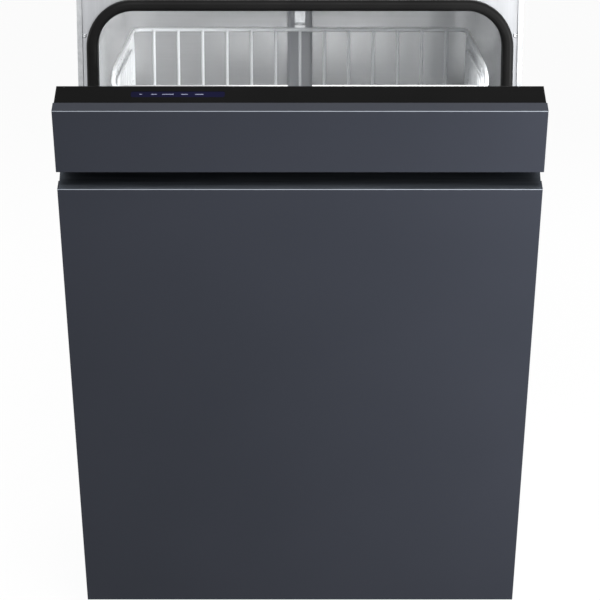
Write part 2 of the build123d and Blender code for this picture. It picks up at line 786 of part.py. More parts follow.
# Door latch: the catch box in the liner's notch
tongue_half = 7.0
with BuildPart() as door_latch:
    with BuildSketch(front(liner_plane + 4)):
        with Locations((0, strip_bottom + 10)):
            Rectangle(2 * latch_half - 1, 30)
    extrude(amount=20)
    with BuildSketch(front(liner_plane + 5)):
        with Locations((0, strip_bottom + 12)):
            Rectangle(2 * tongue_half + 2, 14)
    extrude(amount=14, mode=Mode.SUBTRACT)
save(door_latch, "door_latch", on_door=True)

# Striker: a bracket under the tub's ceiling whose tongue has a window for the catch
striker_y = bulge_y - 8
tongue_z = strip_bottom + 16
with BuildPart() as latch_striker:
    with BuildSketch(Plane.XY.offset(mouth_top - 2.5)):
        with Locations((0, striker_y + 14)):
            Rectangle(24, 30)
    extrude(amount=2)
    with BuildSketch(front(striker_y + steel)):
        with Locations((0, (mouth_top - 1 + tongue_z - steel) / 2)):
            Rectangle(2 * tongue_half, mouth_top - 1 - tongue_z + steel)
    extrude(amount=2 * steel)
    with BuildSketch(Plane.XY.offset(tongue_z - steel)):
        with Locations((0, (striker_y + liner_plane - 5) / 2)):
            Rectangle(2 * tongue_half, striker_y - liner_plane + 5)
        with Locations((0, liner_plane + 5)):
            Rectangle(tongue_half, 12, mode=Mode.SUBTRACT)
    extrude(amount=2 * steel)
save(latch_striker, "latch_striker")

# Furniture front: the narrow upper panel and the tall lower panel share one face
for name, low, high in (("upper_front_panel", grip_top, door_top),
                        ("lower_front_panel", panel_bottom, grip_bottom)):
    with BuildPart() as panel:
        with BuildSketch(front(shell_front)):
            with Locations((0, (low + high) / 2)):
                Rectangle(panel_width, high - low)
        extrude(amount=panel_thickness)
        fillet(panel.faces().sort_by(Axis.Y)[0].edges(), panel_edge)
    save(panel, name, on_door=True)

# Grip profile: a dark channel behind the gap, its sill slopes up and inwards
sill_in = shell_front + grip_depth
sill_rise = (sill_in - panel_front) * sin(radians(grip_slope)) / cos(radians(grip_slope))
with BuildPart() as grip_profile:
    with BuildSketch(Plane.YZ):
        with BuildLine():
            Polyline((panel_front + 0.6, grip_bottom + 0.1), (sill_in, grip_bottom + sill_rise),
                     (sill_in, recess_top - 2.5), (shell_front + 0.1, recess_top - 2.5),
                     (shell_front + 0.1, recess_top - 0.1), (sill_in + 1.9, recess_top - 0.1),
                     (sill_in + 1.9, recess_bottom + 0.1), (shell_front + 0.1, recess_bottom + 0.1),
                     (shell_front + 0.1, grip_bottom + 0.1), close=True)
        make_face()
    extrude(amount=door_width / 2 - 1, both=True)
save(grip_profile, "grip_profile", on_door=True)

# Panel screws hold the furniture front from inside the shell
screw_x = door_width / 2 - 57
screw_up = 108.0
screw_pitch = 220.0
with BuildPart() as panel_screws:
    for step in range(3):
        screw_z = door_bottom + screw_up + step * screw_pitch
        with BuildSketch(front(shell_front + steel + 2.2)):
            with Locations((-screw_x, screw_z), (screw_x, screw_z)):
                RegularPolygon(5, 6)
        extrude(amount=2)
save(panel_screws, "panel_screws", on_door=True)

# Lower lip seal: a strip across the foot of the liner
lip_z = 118.0
with BuildPart() as lip_seal:
    with BuildSketch(Plane.YZ) as lip_outline:
        with BuildLine():
            Polyline((liner_plane + 0.1, lip_z), (liner_plane + 9, lip_z + 3), (liner_plane + 12, lip_z + 10),
                     (liner_plane + 9, lip_z + 9), (liner_plane + 0.1, lip_z + 8), close=True)
        make_face()
    extrude(amount=floor_half + 30, both=True)
save(lip_seal, "lip_seal", on_door=True)

# Dispenser: its housing with the powder cup and the rinse aid well, flap and cap
face_y = bulge_y + 2
cup_x = -30.0
cup_w = 84.0
cup_h = 76.0
rinse_x = 56.0
rinse_r = 19.0
with BuildPart() as dispenser_housing:
    with BuildSketch(front(face_y)):
        with Locations((0, dispenser_z)):
            RectangleRounded(dispenser_w + 12, dispenser_h + 12, 16)
    extrude(amount=1.9)
    with BuildSketch(front(face_y)):
        with Locations((0, dispenser_z)):
            RectangleRounded(dispenser_w - 0.6, dispenser_h - 0.6, 12)
    extrude(amount=34)
    with BuildSketch(front(face_y)):
        with Locations((cup_x, dispenser_z)):
            RectangleRounded(cup_w, cup_h, 10)
    extrude(amount=26, mode=Mode.SUBTRACT)
    with BuildSketch(front(face_y)):
        with Locations((rinse_x, dispenser_z)):
            Circle(rinse_r + 1)
    extrude(amount=6, mode=Mode.SUBTRACT)
save(dispenser_housing, "dispenser_housing", on_door=True)

# Flap over the powder cup, on a pin along its lower edge
flap_thick = 4.0
flap_back = face_y + 0.4
flap_pin_y = flap_back + flap_thick / 2
flap_pin_z = dispenser_z - cup_h / 2 - 5
with BuildPart() as dispenser_flap:
    with BuildSketch(front(flap_back + flap_thick)):
        with Locations((cup_x, dispenser_z + 2)):
            RectangleRounded(cup_w + 10, cup_h + 12, 9)
    extrude(amount=flap_thick)
    chamfer(dispenser_flap.faces().sort_by(Axis.Y)[-1].edges(), 1.2)
    with BuildSketch(front(flap_back + flap_thick + 2)):
        with Locations((cup_x, dispenser_z + 34)):
            SlotOverall(40, 9)
    extrude(amount=2.1)
    with BuildSketch(Plane.YZ.offset(cup_x)):
        with Locations((flap_pin_y, flap_pin_z)):
            Circle(flap_thick / 2)
    extrude(amount=cup_w / 3, both=True)
save(dispenser_flap, "dispenser_flap", on_door=True)

with BuildPart() as rinse_cap:
    with BuildSketch(front(face_y + 1)):
        with Locations((rinse_x, dispenser_z)):
            Circle(rinse_r)
    extrude(amount=6.6)
    with BuildSketch(front(face_y + 6)):
        with Locations((rinse_x, dispenser_z)):
            SlotOverall(2 * rinse_r - 6, 7)
    extrude(amount=5.5)
save(rinse_cap, "rinse_cap", on_door=True)


# Spray arms: a hollow blade seen from outside, its tips swept back like a propeller's
def spray_arm(name, centre_y, low_z, jets_down):
    with BuildPart() as arm:
        with BuildSketch(Plane.XY.offset(low_z)):
            with Locations((0, centre_y)):
                Circle(30)
            with Locations((arm_reach, centre_y + arm_sweep), (-arm_reach, centre_y - arm_sweep)):
                Circle(15)
            make_hull()
            with Locations((0, centre_y)):
                Circle(hub_pin_r + arm_fit, mode=Mode.SUBTRACT)
        extrude(amount=arm_thickness)
        rim_edges = arm.faces().filter_by(Axis.Z).sort_by(Axis.Z)
        for face in (rim_edges[0], rim_edges[-1]):
            chamfer(face.outer_wire().edges(), 3)
        jet_z = low_z if jets_down else low_z + arm_thickness
        with BuildSketch(Plane.XY.offset(jet_z)):
            for step in (-3, -2, -1, 1, 2, 3):
                with Locations((step * arm_reach / 3.4, centre_y + step * arm_sweep / 3.4)):
                    Rectangle(9, 3)
        extrude(amount=2.5 if jets_down else -2.5, mode=Mode.SUBTRACT)
    save(arm, name)


upper_arm_z = upper_floor - 40
spray_arm("lower_spray_arm", well_y, lower_arm_z, False)
spray_arm("upper_spray_arm", upper_mid_y, upper_arm_z, False)

# Upper feed: the duct under the basket that docks on the riser and carries the upper arm
duct_low = upper_arm_z + arm_thickness + 1
with BuildPart() as upper_feed_duct:
    with BuildSketch(Plane.XY.offset(duct_low)):
        with Locations((0, upper_mid_y)):
            Circle(22)
        with Locations((0, upper_mid_y + upper_long / 4)):
            Rectangle(24, upper_long / 2)
    extrude(amount=upper_floor - wire - body_gap - duct_low)
    with BuildSketch(Plane.XY.offset(upper_arm_z - 4)):
        with Locations((0, upper_mid_y)):
            Circle(hub_pin_r)
    extrude(amount=arm_thickness + 6)
    with BuildSketch(Plane.XY.offset(upper_arm_z - 5.5)):
        with Locations((0, upper_mid_y)):
            Circle(12)
    extrude(amount=5)
save(upper_feed_duct, "upper_feed_duct")


# Wire baskets, each wire a straight bar of square section
def wires_up(places, low_z, high_z, half_side=wire):
    """Upright wires at (x, y) places."""
    with BuildSketch(Plane.XY.offset(low_z)) as ends:
        with Locations(*places):
            Rectangle(2 * half_side, 2 * half_side)
    extrude(ends.sketch, amount=high_z - low_z)


def wires_across(places, low_x, high_x, half_side=wire):
    """Wires along X at (y, z) places."""
    with BuildSketch(Plane.YZ.offset(low_x)) as ends:
        with Locations(*places):
            Rectangle(2 * half_side, 2 * half_side)
    extrude(ends.sketch, amount=high_x - low_x)


def wires_deep(places, low_y, high_y, half_side=wire):
    """Wires along Y at (x, z) places."""
    with BuildSketch(front(high_y)) as ends:
        with Locations(*places):
            Rectangle(2 * half_side, 2 * half_side)
    extrude(ends.sketch, amount=high_y - low_y)


def spread(low, high, count):
    """Evenly spaced values from low to high."""
    return [low + (high - low) * step / (count - 1) for step in range(count)]


def comb(row_x, row_z, low_y, high_y, height, count):
    """Upright tines at (row_x, y), evenly spaced along Y."""
    wires_up([(row_x, y) for y in spread(low_y, high_y, count)], row_z, row_z + height, tine)


def basket(half, front_y, length, floor_z, rim_z, front_rim_z, middle_z, rows):
    """Five flat grilles that meet edge to edge, and the rows of fixed tines on the floor."""
    back_y = front_y + length
    inner = half - wire - hairline
    end_in = 2 * wire + hairline
    ribs_y = spread(front_y + 30, back_y - 30, 6)
    ribs_x = spread(-inner + 28, inner - 28, 7)
    row_z = floor_z + 2 * wire + hairline
    wires_across([(y, floor_z) for y in ribs_y], -inner, inner)
    wires_deep([(x, floor_z) for x in ribs_x], front_y + end_in, back_y - end_in)
    for row_x in rows:
        wires_deep([(row_x, row_z)], front_y + 10, back_y - 10)
        comb(row_x, row_z, front_y + 38, back_y - 38, tine_height, 9)
    for side in (-1, 1):
        wires_up([(side * half, y) for y in ribs_y], floor_z - wire, rim_z)
        wires_deep([(side * half, z) for z in (floor_z, middle_z)], front_y, back_y)
        wires_deep([(side * half, rim_z)], front_y, back_y, rim_wire)
    for end_y, top_z in ((front_y + wire, front_rim_z), (back_y - wire, rim_z)):
        wires_up([(x, end_y) for x in ribs_x], floor_z - wire, top_z)
        wires_across([(end_y, z) for z in (floor_z, middle_z, top_z)], -inner + 1.2, inner - 1.2)


runner_long = 400.0
runner_home = 34.0
outer_half = 12.0
middle_half = outer_half - steel - 0.7
slide_half = middle_half - steel - 0.7
slide_in = upper_half + wire + hairline
slide_out = mouth_half - 5.2

# Upper basket, with the slide bars of its runners on the side grilles
with BuildPart() as upper_basket:
    basket(upper_half, upper_y, upper_long, upper_floor, upper_rim, upper_front_rim, rail_z, (-row_pitch, 0))
    for side in (-1, 1):
        with BuildSketch(front(runner_home - upper_out + runner_long)):
            with Locations((side * (slide_in + slide_out) / 2, rail_z)):
                Rectangle(slide_out - slide_in, 2 * slide_half)
        extrude(amount=runner_long)
save(upper_basket, "upper_basket")

# Lower basket, with a carrier plate and an axle stub for each of its four wheels
axle_r = 3.0
wheel_z = 182.2
wheel_front_y = lower_y + 72
wheel_rear_y = lower_y + 338
with BuildPart() as lower_basket:
    basket(lower_half, lower_y, lower_long, lower_floor, lower_rim, lower_rim, lower_floor + lower_wall / 2,
           (0, row_pitch, 2 * row_pitch))
    for side in (-1, 1):
        with BuildSketch(Plane.YZ.offset(side * lower_half - 1.5)):
            with Locations((wheel_front_y, wheel_z + 2), (wheel_rear_y, wheel_z + 2)):
                Rectangle(34, 2 * (lower_floor - wire - hairline - wheel_z - 2))
        extrude(amount=3)
        with BuildSketch(Plane.YZ.offset(side * (lower_half + 6.5) - 6.5)):
            with Locations((wheel_front_y, wheel_z), (wheel_rear_y, wheel_z)):
                Circle(axle_r)
        extrude(amount=13)
save(lower_basket, "lower_basket")

def hinge_shaft(row_x, row_z, low_y, high_y):
    """A wire along Y that a folding row turns on, with a round journal at each end."""
    wires_deep([(row_x, row_z)], low_y, high_y, tine)
    for journal_y in (low_y + journal, high_y):
        with BuildSketch(front(journal_y)) as ends:
            with Locations((row_x, row_z)):
                Circle(shaft)
        extrude(ends.sketch, amount=journal)


# Folding rows: tines on a shaft that turns just over the floor wires
for name, row_x, low_y, floor_z in (("upper_tines", row_pitch, upper_y, upper_floor),
                                    ("lower_tines", -row_pitch, lower_y, lower_floor)):
    with BuildPart() as row:
        row_z = floor_z + wire + shaft + body_gap
        hinge_shaft(row_x, row_z, low_y + 12, low_y + upper_long - 12)
        comb(row_x, row_z, low_y + 38, low_y + upper_long - 38, tine_height, 9)
    save(row, name)

# Cup shelves: bent wire racks hinged on the upper basket's side walls, stowed upright
shelf_x = upper_half - wire - shaft - body_gap
shelf_z = rail_z + 28
shelf_reach = 92.0
shelf_front = upper_y + 30
shelf_back = upper_y + 300
for side, name in ((-1, "cup_shelf_left"), (1, "cup_shelf_right")):
    with BuildPart() as cup_shelf:
        hinge_shaft(side * shelf_x, shelf_z, shelf_front - 6, shelf_back + 6)
        wires_deep([(side * shelf_x, shelf_z + shelf_reach)], shelf_front, shelf_back, tine)
        wires_deep([(side * shelf_x, shelf_z + shelf_reach / 2)], shelf_front, shelf_back, tine)
        comb(side * shelf_x, shelf_z, shelf_front + tine, shelf_back - tine, shelf_reach, 6)
    save(cup_shelf, name)

# Handles: a bright bar clipped to each basket's front
for name, bar_y, bar_z, bar_half_x in (("upper_handle", upper_y, upper_front_rim - 8, 170),
                                       ("lower_handle", lower_y, lower_rim - 8, 150)):
    with BuildPart() as handle:
        with BuildSketch(Plane.YZ) as handle_outline:
            with Locations((bar_y - 4.5 - hairline, bar_z)):
                RectangleRounded(9, 26, 3)
        extrude(amount=bar_half_x, both=True)
    save(handle, name)

# Upper runners: a fixed channel on each tub wall and a middle channel that runs in it
with BuildPart() as rail_outers:
    for side in (-1, 1):
        with BuildSketch(front(runner_home + runner_long)):
            with Locations((side * (mouth_half - 5.6), rail_z)):
                Rectangle(11, 2 * outer_half)
            with Locations((side * (mouth_half - 5.6 - steel), rail_z)):
                Rectangle(11, 2 * (outer_half - steel), mode=Mode.SUBTRACT)
        extrude(amount=runner_long)
save(rail_outers, "rail_outers")

middle_y = runner_home - upper_out / 2
with BuildPart() as rail_middles:
    for side in (-1, 1):
        with BuildSketch(front(middle_y + runner_long)):
            with Locations((side * (mouth_half - 8.2), rail_z)):
                Rectangle(12, 2 * middle_half)
            with Locations((side * (mouth_half - 8.2 - steel), rail_z)):
                Rectangle(12, 2 * (middle_half - steel), mode=Mode.SUBTRACT)
        extrude(amount=runner_long)
save(rail_middles, "rail_middles")

# Lower wheels run on the floor of the tub, in two pairs
for name, axle_y in (("wheels_front", wheel_front_y), ("wheels_rear", wheel_rear_y)):
    with BuildPart() as wheels:
        for side in (-1, 1):
            with BuildSketch(Plane.YZ.offset(side * (lower_half + 8) - 3.6)):
                with Locations((axle_y, wheel_z)):
                    Circle(wheel_r)
                    Circle(axle_r + running_fit, mode=Mode.SUBTRACT)
            extrude(amount=7.2)
    save(wheels, name)

# Cutlery basket: a slotted plastic box with a grid lid
cutlery_x = -lower_half + 53
cutlery_w = 86.0
cutlery_l = 240.0
cutlery_h = 118.0
cutlery_y = lower_y + 150
cutlery_z = lower_floor + wire + 0.3
with BuildPart() as cutlery_basket:
    with BuildSketch(Plane.XY.offset(cutlery_z)):
        with Locations((cutlery_x, cutlery_y)):
            RectangleRounded(cutlery_w, cutlery_l, 10)
    extrude(amount=cutlery_h)
    with BuildSketch(Plane.XY.offset(cutlery_z + 2)):
        with Locations((cutlery_x, cutlery_y)):
            RectangleRounded(cutlery_w - 4, cutlery_l - 4, 8)
    extrude(amount=cutlery_h, mode=Mode.SUBTRACT)
    with BuildSketch(Plane.YZ.offset(cutlery_x - cutlery_w / 2 - 1)):
        with Locations((cutlery_y, cutlery_z + cutlery_h / 2)):
            with GridLocations(40, 50, 5, 2):
                Rectangle(14, 36)
    extrude(amount=cutlery_w + 2, mode=Mode.SUBTRACT)
save(cutlery_basket, "cutlery_basket")

# Its lid turns on two knuckles beside the long wall
lid_z = cutlery_z + cutlery_h + 0.5
lid_thick = 2.5
knuckle_r = 2.0
knuckle_pitch = 160.0
knuckle_long = 24.0
knuckle_x = cutlery_x + cutlery_w / 2 + knuckle_r + body_gap
with BuildPart() as cutlery_lid:
    with BuildSketch(Plane.XY.offset(lid_z)):
        with Locations((cutlery_x, cutlery_y)):
            RectangleRounded(cutlery_w, cutlery_l, 10)
            with GridLocations(38, 43, 2, 5):
                Rectangle(30, 35, mode=Mode.SUBTRACT)
        with Locations(((knuckle_x + cutlery_x) / 2 + cutlery_w / 4, cutlery_y)):
            with GridLocations(0, knuckle_pitch, 1, 2):
                Rectangle(knuckle_x - cutlery_x - cutlery_w / 2 + 6, knuckle_long)
    extrude(amount=lid_thick)
    for knuckle_y in (cutlery_y - knuckle_pitch / 2, cutlery_y + knuckle_pitch / 2):
        with BuildSketch(front(knuckle_y + knuckle_long / 2)):
            with Locations((knuckle_x, lid_z + lid_thick / 2)):
                Circle(knuckle_r)
        extrude(amount=knuckle_long)
save(cutlery_lid, "cutlery_lid")
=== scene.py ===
import json
from math import pi, radians

import bmesh
import bpy
from mathutils import Matrix, Vector


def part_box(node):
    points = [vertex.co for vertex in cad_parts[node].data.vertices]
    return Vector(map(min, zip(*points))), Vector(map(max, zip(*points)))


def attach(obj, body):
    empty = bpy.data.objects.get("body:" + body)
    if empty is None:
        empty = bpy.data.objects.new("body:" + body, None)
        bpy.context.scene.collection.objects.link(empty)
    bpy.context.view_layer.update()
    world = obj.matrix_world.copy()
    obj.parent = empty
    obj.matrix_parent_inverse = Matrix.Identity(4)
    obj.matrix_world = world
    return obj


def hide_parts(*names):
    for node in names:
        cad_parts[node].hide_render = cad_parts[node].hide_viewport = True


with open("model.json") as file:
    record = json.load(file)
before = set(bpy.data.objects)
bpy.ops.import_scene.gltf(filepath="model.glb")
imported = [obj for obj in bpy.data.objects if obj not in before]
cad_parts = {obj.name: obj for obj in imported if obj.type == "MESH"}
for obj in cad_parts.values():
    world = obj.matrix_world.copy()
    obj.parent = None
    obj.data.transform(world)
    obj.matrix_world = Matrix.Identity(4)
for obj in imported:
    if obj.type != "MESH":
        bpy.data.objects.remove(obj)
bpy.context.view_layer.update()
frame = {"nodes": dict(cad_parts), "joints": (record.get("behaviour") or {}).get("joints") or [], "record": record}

nodes = frame["nodes"]

# The door's place: drawn shut, then turned about the hinge to where it stands ajar
hinge = next(j for j in frame["joints"] if j["name"] == "door_hinge")
hinge_at = Vector(hinge["pos_m"])
door_turn = -radians(hinge["range_deg"][0])
door_matrix = (Matrix.Translation(hinge_at) @ Matrix.Rotation(door_turn, 4, "X")
               @ Matrix.Translation(-hinge_at))


# Materials
noise_low, noise_high = 0.3, 0.7    # the range that most of a noise lies in


def shader(name, **sockets):
    """A new material and its Principled node."""
    material = bpy.data.materials.new(name)
    material.use_nodes = True
    principled = material.node_tree.nodes["Principled BSDF"]
    for socket, value in sockets.items():
        principled.inputs[socket.replace("_", " ")].default_value = value
    return material, principled


def node(owner, kind, **values):
    """A node of a material or world, with its sockets or settings by name."""
    made = owner.node_tree.nodes.new(kind)
    for key, value in values.items():
        if key in made.inputs:
            made.inputs[key].default_value = value
        else:
            setattr(made, key, value)
    return made


def link(owner, source, target):
    owner.node_tree.links.new(source, target)


def coordinate(material, kind):
    return node(material, "ShaderNodeTexCoord").outputs[kind]


def source_of(socket):
    return socket.links[0].from_socket


def grain(material, scale, stretch=(1, 1, 1), detail=4.0):
    """Noise in object space, stretched along an axis where stretch is small."""
    mapping = node(material, "ShaderNodeMapping", Scale=stretch)
    noise = node(material, "ShaderNodeTexNoise", Scale=scale, Detail=detail)
    link(material, coordinate(material, "Object"), mapping.inputs["Vector"])
    link(material, mapping.outputs["Vector"], noise.inputs["Vector"])
    return noise.outputs["Fac"]


def map_range(owner, factor, from_low, from_high, low, high):
    """Factor's range as the range from low to high."""
    made = node(owner, "ShaderNodeMapRange")
    for socket, value in (("From Min", from_low), ("From Max", from_high),
                          ("To Min", low), ("To Max", high)):
        made.inputs[socket].default_value = value
    link(owner, factor, made.inputs["Value"])
    return made.outputs["Result"]


def tint(material, principled, factor, low, high):
    """Base colour that runs from low to high with factor."""
    ramp = node(material, "ShaderNodeValToRGB")
    stops = ramp.color_ramp.elements
    for stop, position, colour in ((stops[0], noise_low, low), (stops[1], noise_high, high)):
        stop.position = position
        stop.color = (*colour, 1)
    link(material, factor, ramp.inputs["Fac"])
    link(material, ramp.outputs["Color"], principled.inputs["Base Color"])


def polish(material, principled, factor, low, high):
    """Roughness that runs from low to high with factor."""
    link(material, map_range(material, factor, noise_low, noise_high, low, high),
         principled.inputs["Roughness"])


def relief(material, principled, factor, strength, distance):
    """Bump of a height in metres."""
    bump = node(material, "ShaderNodeBump", Strength=strength, Distance=distance)
    link(material, factor, bump.inputs["Height"])
    link(material, bump.outputs["Normal"], principled.inputs["Normal"])


def lacquer():
    """Satin anthracite: a drift of tone, an orange peel and a painted highlight on the top front edges."""
    material, principled = shader("anthracite_lacquer", Specular_IOR_Level=0.1)
    colour = principled.inputs["Base Color"]
    drift = grain(material, 3.0, detail=2.0)
    tint(material, principled, drift, (0.0207, 0.0233, 0.031), (0.0235, 0.0261, 0.0346))
    # Painted highlight: chamfers that face up and to the front of the door as it stands ajar get a paler colour.
    facing = node(material, "ShaderNodeVectorMath", operation="DOT_PRODUCT")
    facing.inputs[1].default_value = door_matrix.to_3x3() @ Vector((0, -1, 1)).normalized()
    pale = node(material, "ShaderNodeMix", data_type="RGBA", B=(0.22, 0.24, 0.27, 1))
    link(material, coordinate(material, "Normal"), facing.inputs[0])
    link(material, map_range(material, facing.outputs["Value"], 0.78, 0.95, 0, 1),
         pale.inputs["Factor"])
    link(material, source_of(colour), pale.inputs["A"])
    link(material, pale.outputs["Result"], colour)
    polish(material, principled, grain(material, 60.0), 0.40, 0.48)
    relief(material, principled, grain(material, 900.0), 0.05, 0.0002)
    return material


lengthwise = (0.02, 1, 1)
upright = (1, 1, 0.02)


def steel(name, light, dark, rough, stretch, metallic=1.0, rear=None):
    """Rolled steel with fine streaks; faces to the rear run between the two colours in rear."""
    material, principled = shader(name, Metallic=metallic)
    streaks = grain(material, 400.0, stretch, 3.0)
    tint(material, principled, streaks, dark, light)
    if rear:
        colour = principled.inputs["Base Color"]
        front_colour = source_of(colour)
        tint(material, principled, grain(material, 7.0, (0.3, 1, 1), 6.0), *rear)
        facing = node(material, "ShaderNodeSeparateXYZ")
        mixed = node(material, "ShaderNodeMix", data_type="RGBA")
        link(material, coordinate(material, "Normal"), facing.inputs[0])
        link(material, facing.outputs["Y"], mixed.inputs["Factor"])
        link(material, front_colour, mixed.inputs["A"])
        link(material, source_of(colour), mixed.inputs["B"])
        link(material, mixed.outputs["Result"], colour)
    polish(material, principled, streaks, rough, rough + 0.04)
    relief(material, principled, streaks, 0.02, 0.0001)
    return material


def zinc():
    """Galvanised sheet: crystals of slightly different tone."""
    material, principled = shader("zinc_sheet", Metallic=0.9)
    crystals = node(material, "ShaderNodeTexVoronoi", Scale=170.0)
    link(material, coordinate(material, "Object"), crystals.inputs["Vector"])
    tint(material, principled, crystals.outputs["Distance"],
         (0.38, 0.39, 0.40), (0.43, 0.44, 0.45))
    polish(material, principled, grain(material, 40.0), 0.38, 0.5)
    return material


def plastic(name, low, high, rough, bump=0.12, scale=700.0, gloss=0.5):
    """Moulded plastic with a fine spark-eroded grain."""
    material, principled = shader(name, Specular_IOR_Level=gloss)
    tint(material, principled, grain(material, 8.0), low, high)
    polish(material, principled, grain(material, 30.0), rough, rough + 0.1)
    relief(material, principled, grain(material, scale), bump, 0.0003)
    return material


def felt():
    """Pressed fibre mat."""
    material, principled = shader("felt_mat")
    tint(material, principled, grain(material, 260.0, detail=8.0),
         (0.05, 0.05, 0.052), (0.13, 0.13, 0.135))
    polish(material, principled, grain(material, 100.0), 0.85, 0.98)
    relief(material, principled, grain(material, 420.0, detail=8.0), 0.6, 0.001)
    return material


def coil():
    """Spring steel whose coils run round the spring's length, drawn by a bump and by painted shade in the grooves
    between them.
    """
    material, principled = shader("spring_steel", Metallic=0.9)
    turn_relief_and_painted_shade = node(material, "ShaderNodeTexWave", Scale=95.0, Distortion=0.0, bands_direction="Y")
    link(material, coordinate(material, "Object"), turn_relief_and_painted_shade.inputs["Vector"])
    # Painted shade: the dark end of the bands is shade in the grooves between the coils.
    tint(material, principled, turn_relief_and_painted_shade.outputs["Fac"], (0.10, 0.10, 0.11), (0.46, 0.47, 0.48))
    polish(material, principled, grain(material, 60.0), 0.3, 0.42)
    relief(material, principled, turn_relief_and_painted_shade.outputs["Fac"], 0.9, 0.001)
    return material


tub_light, tub_dark = (0.88, 0.885, 0.89), (0.85, 0.855, 0.86)
tub_metallic = 0.7
finishes = {
    "front_lacquer": lacquer(),
    "stainless": steel("tub_steel", tub_light, tub_dark, 0.13, lengthwise, tub_metallic),
    "galvanised": zinc(),
    "seal_rubber": plastic("seal_rubber", (0.004, 0.004, 0.004), (0.007, 0.007, 0.007), 0.45,
                           bump=0.15, scale=900.0, gloss=0.06),
    "felt": felt(),
    "strip_gloss": plastic("piano_black", (0.002, 0.002, 0.002), (0.003, 0.003, 0.003), 0.10,
                           bump=0.01, scale=300.0, gloss=0.02),
    "window_glass": plastic("window_navy", (0.002, 0.002, 0.014), (0.003, 0.003, 0.019), 0.06,
                            bump=0.01, scale=300.0, gloss=0.02),
    "dark_profile": steel("dark_profile", (0.085, 0.095, 0.11), (0.06, 0.068, 0.08), 0.34,
                          lengthwise),
    "white_wire": plastic("white_coat", (0.70, 0.72, 0.74), (0.76, 0.78, 0.79), 0.26,
                          bump=0.05, scale=900.0),
    "grey_plastic": plastic("grey_moulding", (0.36, 0.37, 0.39), (0.42, 0.43, 0.45), 0.42),
    "dark_plastic": plastic("black_moulding", (0.028, 0.028, 0.030), (0.045, 0.045, 0.048), 0.5),
}
own_finishes = {
    "door_springs": coil(),
    "front_frame": steel("frame_steel", (0.52, 0.53, 0.55), (0.48, 0.49, 0.51), 0.28, upright),
    "tub_back": steel("back_steel", tub_light, tub_dark, 0.16, lengthwise, tub_metallic,
                      rear=((0.42, 0.425, 0.435), (0.54, 0.545, 0.555))),
    "door_liner": steel("liner_steel", (0.66, 0.665, 0.675), (0.61, 0.615, 0.625), 0.20,
                        lengthwise),
}
for entry in frame["record"]["subparts"]:
    surfaces = nodes[entry["node"]].data.materials
    surfaces.clear()
    surfaces.append(own_finishes.get(entry["node"]) or finishes[entry["material_slot"]])


# Making and placing pieces
def settle(piece, body, slot, finish=None):
    """Finish and body of a new piece."""
    bpy.context.scene.collection.objects.link(piece)
    piece.data.materials.append(finish or finishes[slot])
    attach(piece, body)
    return piece


def mesh_piece(name, build, body, slot, on_door=False, finish=None):
    """A mesh object whose geometry build(bm) makes, on the shut door where on_door is set."""
    bm = bmesh.new()
    build(bm)
    data = bpy.data.meshes.new(name)
    bm.to_mesh(data)
    bm.free()
    data.shade_smooth()
    if on_door:
        data.transform(door_matrix)
    return settle(bpy.data.objects.new(name, data), body, slot, finish)


def wires(name, lines, radius, body, closed=False):
    """Round white wires along lines of points."""
    data = bpy.data.curves.new(name, "CURVE")
    data.dimensions = "3D"
    data.bevel_depth = radius
    data.bevel_resolution = 3
    data.use_fill_caps = True
    for line in lines:
        spline = data.splines.new("POLY")
        spline.points.add(len(line) - 1)
        for point, place in zip(spline.points, line):
            point.co = (*place, 1)
        spline.use_cyclic_u = closed
    return settle(bpy.data.objects.new(name, data), body, "white_wire")


def bend(points, radius, closed=False, steps=7):
    """The points as a line with its corners rounded."""
    count = len(points)
    points = [Vector(p) for p in points]
    line = []
    for i, corner in enumerate(points):
        if not closed and i in (0, count - 1):
            line.append(corner)
            continue
        before = points[i - 1] - corner
        after = points[(i + 1) % count] - corner
        reach = min(radius, before.length / 2.01, after.length / 2.01)
        start = corner + before.normalized() * reach
        end = corner + after.normalized() * reach
        for step in range(steps + 1):
            t = step / steps
            line.append(start * (1 - t) ** 2 + corner * 2 * t * (1 - t) + end * t ** 2)
    return line


def spread(low, high, count):
    """Evenly spaced values, both ends among them."""
    return [low + (high - low) * step / (count - 1) for step in range(count)]


def rounded_bar(bm, low, high, edge):
    """A box with rounded edges."""
    made = bmesh.ops.create_cube(bm, size=1.0)["verts"]
    for vert in made:
        vert.co = Vector(low[i] + (vert.co[i] + 0.5) * (high[i] - low[i]) for i in range(3))
    edges = list({e for v in made for e in v.link_edges})
    bmesh.ops.bevel(bm, geom=edges, offset=edge, segments=3, affect="EDGES", profile=0.6)


def disc(bm, centre, axis, radius, depth):
    """A round boss with softened rims whose axis runs along X or Y, centred at a point."""
    turn = Matrix.Rotation(pi / 2, 4, {"X": "Y", "Y": "X"}[axis])
    made = bmesh.ops.create_cone(bm, cap_ends=True, segments=32, radius1=radius, radius2=radius,
                                 depth=depth, matrix=Matrix.Translation(centre) @ turn)["verts"]
    rims = list({e for v in made for e in v.link_edges
                 if sum(len(f.verts) > 4 for f in e.link_faces) == 1})
    bmesh.ops.bevel(bm, geom=rims, offset=0.0006, segments=2, affect="EDGES", profile=0.6)


# Baskets: wires as in the source's racks, round and bent
wire_r = 0.0022
rim_r = 0.0031
tine_r = 0.0018
wire_bend = 0.016
rim_bend = 0.022
tine_height = 0.0624
cross_margin, cross_count = 0.030, 11
deep_margin, deep_count = 0.028, 13
tine_margin, tine_count = 0.038, 13
rail_margin = 0.010
step_high, step_low = 0.008, 0.034    # below the rim, where the side wires jog
rim_dip = 0.045                       # from the front, where the rim starts to fall


